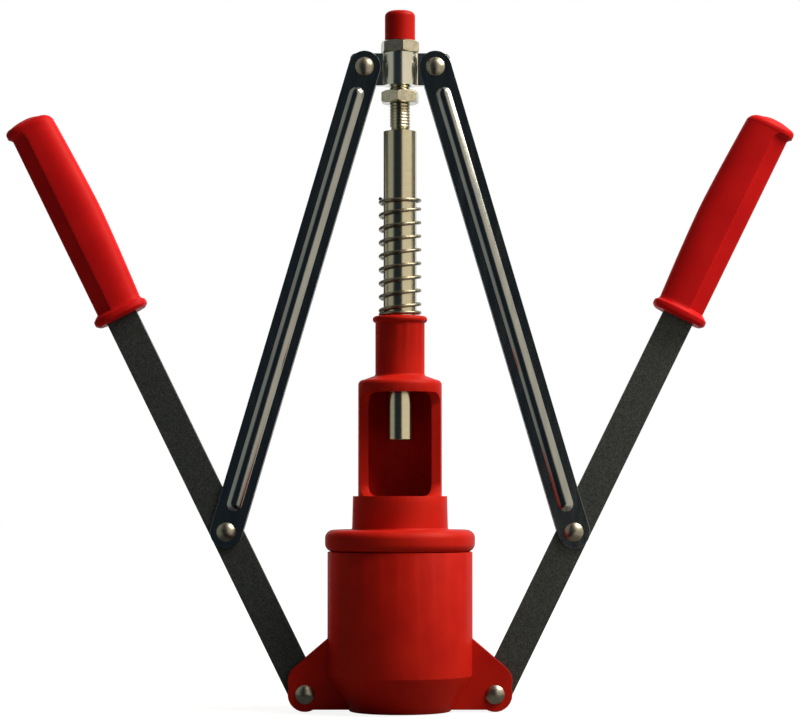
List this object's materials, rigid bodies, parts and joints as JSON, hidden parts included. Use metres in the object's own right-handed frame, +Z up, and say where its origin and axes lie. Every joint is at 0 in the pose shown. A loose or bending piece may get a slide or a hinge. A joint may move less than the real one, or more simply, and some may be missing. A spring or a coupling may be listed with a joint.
{
  "type": "double lever wine corker",
  "caption": "Double lever corker: a bell that stands on a bottle's neck, a windowed cork chamber, and two gripped levers that draw a plunger down through a squeezing funnel.",
  "frame": {"origin": "on the plunger's axis, in the plane of the bell's foot", "axes": "+Z up along the plunger, -Y towards the window, +X to the right-hand lever as seen from the window"},
  "size_m": [0.3782, 0.0716, 0.3351],
  "materials": {
    "bell_plastic": "satin moulded plastic",
    "housing_plastic": "satin moulded plastic",
    "grip_plastic": "satin moulded plastic",
    "cap_plastic": "satin moulded plastic",
    "funnel_brass": "turned",
    "spring_steel": "oiled wire",
    "rivet_nickel": "nickel plated",
    "rod_steel": "turned and zinc plated",
    "nut_zinc": "zinc plated",
    "crosshead_chrome": "polished",
    "link_plated": "dark polished plating",
    "lever_steel": "dark, finely grained"
  },
  "bodies": {
    "base": {"bell": "bell_plastic", "upper_housing": "housing_plastic", "compression_funnel": "funnel_brass", "return_spring": "spring_steel", "left_base_rivet": "rivet_nickel", "right_base_rivet": "rivet_nickel"},
    "plunger": {"plunger_rod": "rod_steel", "rod_cap": "cap_plastic", "upper_nut": "nut_zinc", "lower_nut": "nut_zinc", "crosshead_front": "crosshead_chrome", "crosshead_back": "crosshead_chrome", "left_top_rivet": "rivet_nickel", "right_top_rivet": "rivet_nickel"},
    "left_link": {"left_link_front": "link_plated", "left_link_back": "link_plated", "left_elbow_heads": "rivet_nickel"},
    "right_link": {"right_link_front": "link_plated", "right_link_back": "link_plated", "right_elbow_heads": "rivet_nickel"},
    "left_lever": {"left_lever_bar": "lever_steel", "left_grip": "grip_plastic", "left_elbow_shank": "rivet_nickel"},
    "right_lever": {"right_lever_bar": "lever_steel", "right_grip": "grip_plastic", "right_elbow_shank": "rivet_nickel"}
  },
  "joints": [
    {"name": "plunger_press", "type": "slide", "parent": "base", "child": "plunger", "axis": [0, 0, -1], "range_m": [-0.008, 0.08124], "deforming": ["return_spring"]},
    {"name": "left_lever_swing", "type": "hinge", "parent": "base", "child": "left_lever", "pos_m": [-0.045, 0, 0.0082], "axis": [0, -1, 0], "range_deg": [-5.35, 53.85]},
    {"name": "left_link_swing", "type": "hinge", "parent": "plunger", "child": "left_link", "pos_m": [-0.017, 0, 0.30793], "axis": [0, 1, 0], "range_deg": [-1.27, 12.48]},
    {"name": "right_lever_swing", "type": "hinge", "parent": "base", "child": "right_lever", "pos_m": [0.045, 0, 0.0082], "axis": [0, 1, 0], "range_deg": [-5.35, 53.85]},
    {"name": "right_link_swing", "type": "hinge", "parent": "plunger", "child": "right_link", "pos_m": [0.017, 0, 0.30793], "axis": [0, -1, 0], "range_deg": [-1.27, 12.48]}
  ],
  "couplings": [
    {"joint": "left_lever_swing", "follows": "plunger_press", "rad_per_m": 11.558},
    {"joint": "left_link_swing", "follows": "plunger_press", "rad_per_m": 2.6698},
    {"joint": "right_lever_swing", "follows": "plunger_press", "rad_per_m": 11.558},
    {"joint": "right_link_swing", "follows": "plunger_press", "rad_per_m": 2.6698}
  ]
}
